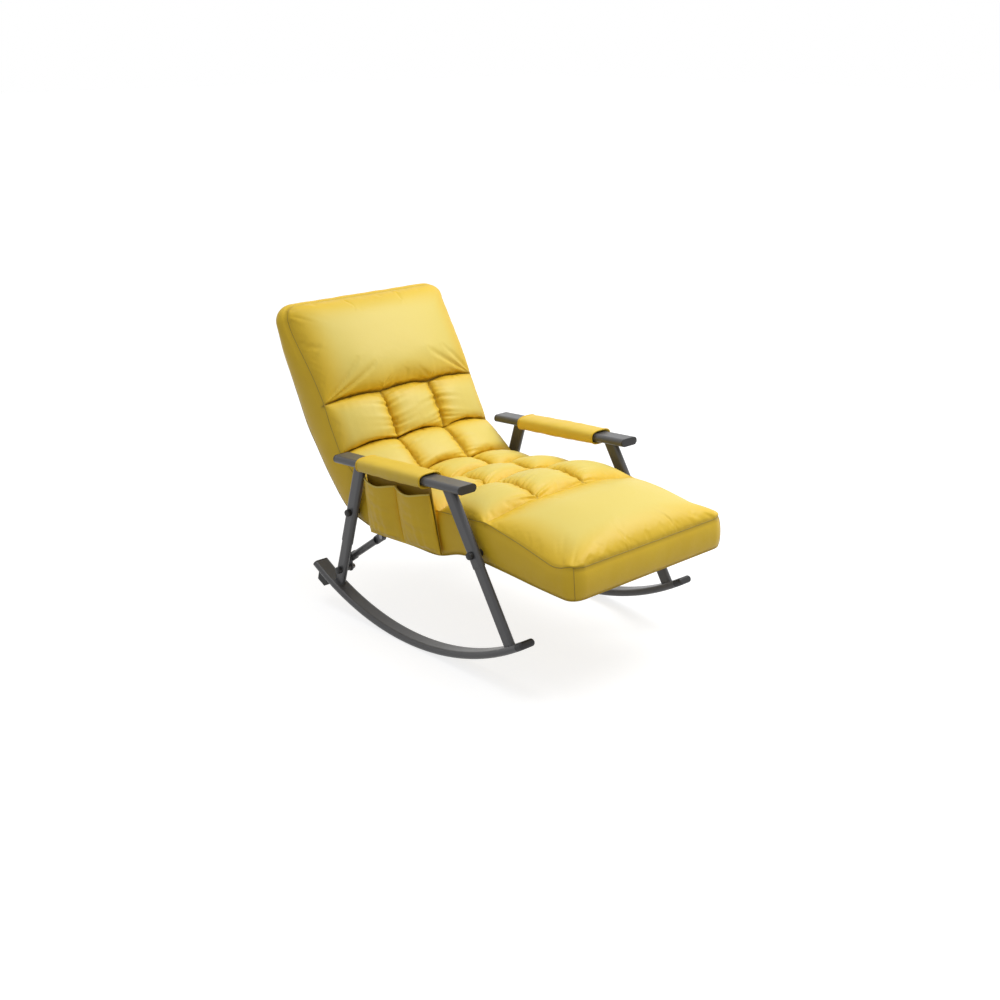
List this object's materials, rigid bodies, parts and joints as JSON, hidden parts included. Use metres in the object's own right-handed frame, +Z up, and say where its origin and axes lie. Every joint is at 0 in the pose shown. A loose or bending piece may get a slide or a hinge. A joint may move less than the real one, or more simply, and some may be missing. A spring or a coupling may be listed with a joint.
{
  "type": "reclining rocking chair",
  "caption": "Padded lounge chair on bent-tube rockers, with a tufted pad whose back and foot sections hinge, and a side pocket under one armrest.",
  "frame": {"origin": "on the floor, midway between the rockers, at the middle of the chair's length, where the rockers touch the floor", "axes": "+Z up, -Y the way the sitter faces, +X to the sitter's left"},
  "size_m": [0.676, 1.18, 0.842],
  "materials": {
    "yellow_leatherette": "soft satin leatherette over foam and fibre filling",
    "lining": "plain backing cloth",
    "webbing": "woven elastic support cloth",
    "grey_powder_coat": "dark grey satin powder coat",
    "zinc_steel": "zinc-plated fasteners",
    "black_plastic": "moulded matt black",
    "rubber": "matt black rubber"
  },
  "bodies": {
    "chair_frame": {"anti_tip_blocks": "rubber", "armrest_front_caps": "black_plastic", "armrest_left": "grey_powder_coat", "armrest_rear_caps": "black_plastic", "armrest_right": "grey_powder_coat", "armrest_sleeve_left": "yellow_leatherette", "armrest_sleeve_right": "yellow_leatherette", "bolt_caps": "black_plastic", "brace_bolts": "zinc_steel", "brace_foot_brackets": "grey_powder_coat", "brace_left": "grey_powder_coat", "brace_nuts": "zinc_steel", "brace_right": "grey_powder_coat", "brace_rivets": "zinc_steel", "brace_washers": "zinc_steel", "front_hinge_bolts": "zinc_steel", "hinge_nuts": "zinc_steel", "hinge_spacers": "black_plastic", "leg_spacers": "black_plastic", "lower_front_leg_left": "grey_powder_coat", "lower_front_leg_right": "grey_powder_coat", "lower_rear_leg_left": "grey_powder_coat", "lower_rear_leg_right": "grey_powder_coat", "pocket_back_panel": "yellow_leatherette", "pocket_floors": "yellow_leatherette", "pocket_front_panel": "yellow_leatherette", "rear_hinge_bolts": "zinc_steel", "rocker_front_caps": "black_plastic", "rocker_left": "grey_powder_coat", "rocker_rear_caps": "black_plastic", "rocker_right": "grey_powder_coat", "seat_brace_plates": "grey_powder_coat", "seat_cross_tubes": "grey_powder_coat", "seat_cushion": "yellow_leatherette", "seat_hinge_plates": "grey_powder_coat", "seat_rail_left": "grey_powder_coat", "seat_rail_right": "grey_powder_coat", "seat_under_cover": "lining", "seat_webbing": "webbing", "upper_front_leg_left": "grey_powder_coat", "upper_front_leg_right": "grey_powder_coat", "upper_rear_leg_left": "grey_powder_coat", "upper_rear_leg_right": "grey_powder_coat"},
    "backrest": {"back_cover": "lining", "back_cross_tube": "grey_powder_coat", "back_cushion": "yellow_leatherette", "back_hinge_plates": "grey_powder_coat", "back_rail_left": "grey_powder_coat", "back_rail_right": "grey_powder_coat", "back_webbing": "webbing", "head_cushion": "yellow_leatherette"},
    "footrest": {"foot_cross_tubes": "grey_powder_coat", "foot_cushion": "yellow_leatherette", "foot_hinge_plates": "grey_powder_coat", "foot_rail_left": "grey_powder_coat", "foot_rail_right": "grey_powder_coat", "foot_under_cover": "lining", "foot_webbing": "webbing"}
  },
  "joints": [
    {"name": "backrest_recline", "type": "hinge", "parent": "chair_frame", "child": "backrest", "pos_m": [0, 0.23975, 0.309], "axis": [-1, 0, 0], "range_deg": [-18, 36]},
    {"name": "footrest_tilt", "type": "hinge", "parent": "chair_frame", "child": "footrest", "pos_m": [0, -0.26205, 0.325], "axis": [1, 0, 0], "range_deg": [-10, 50]}
  ]
}
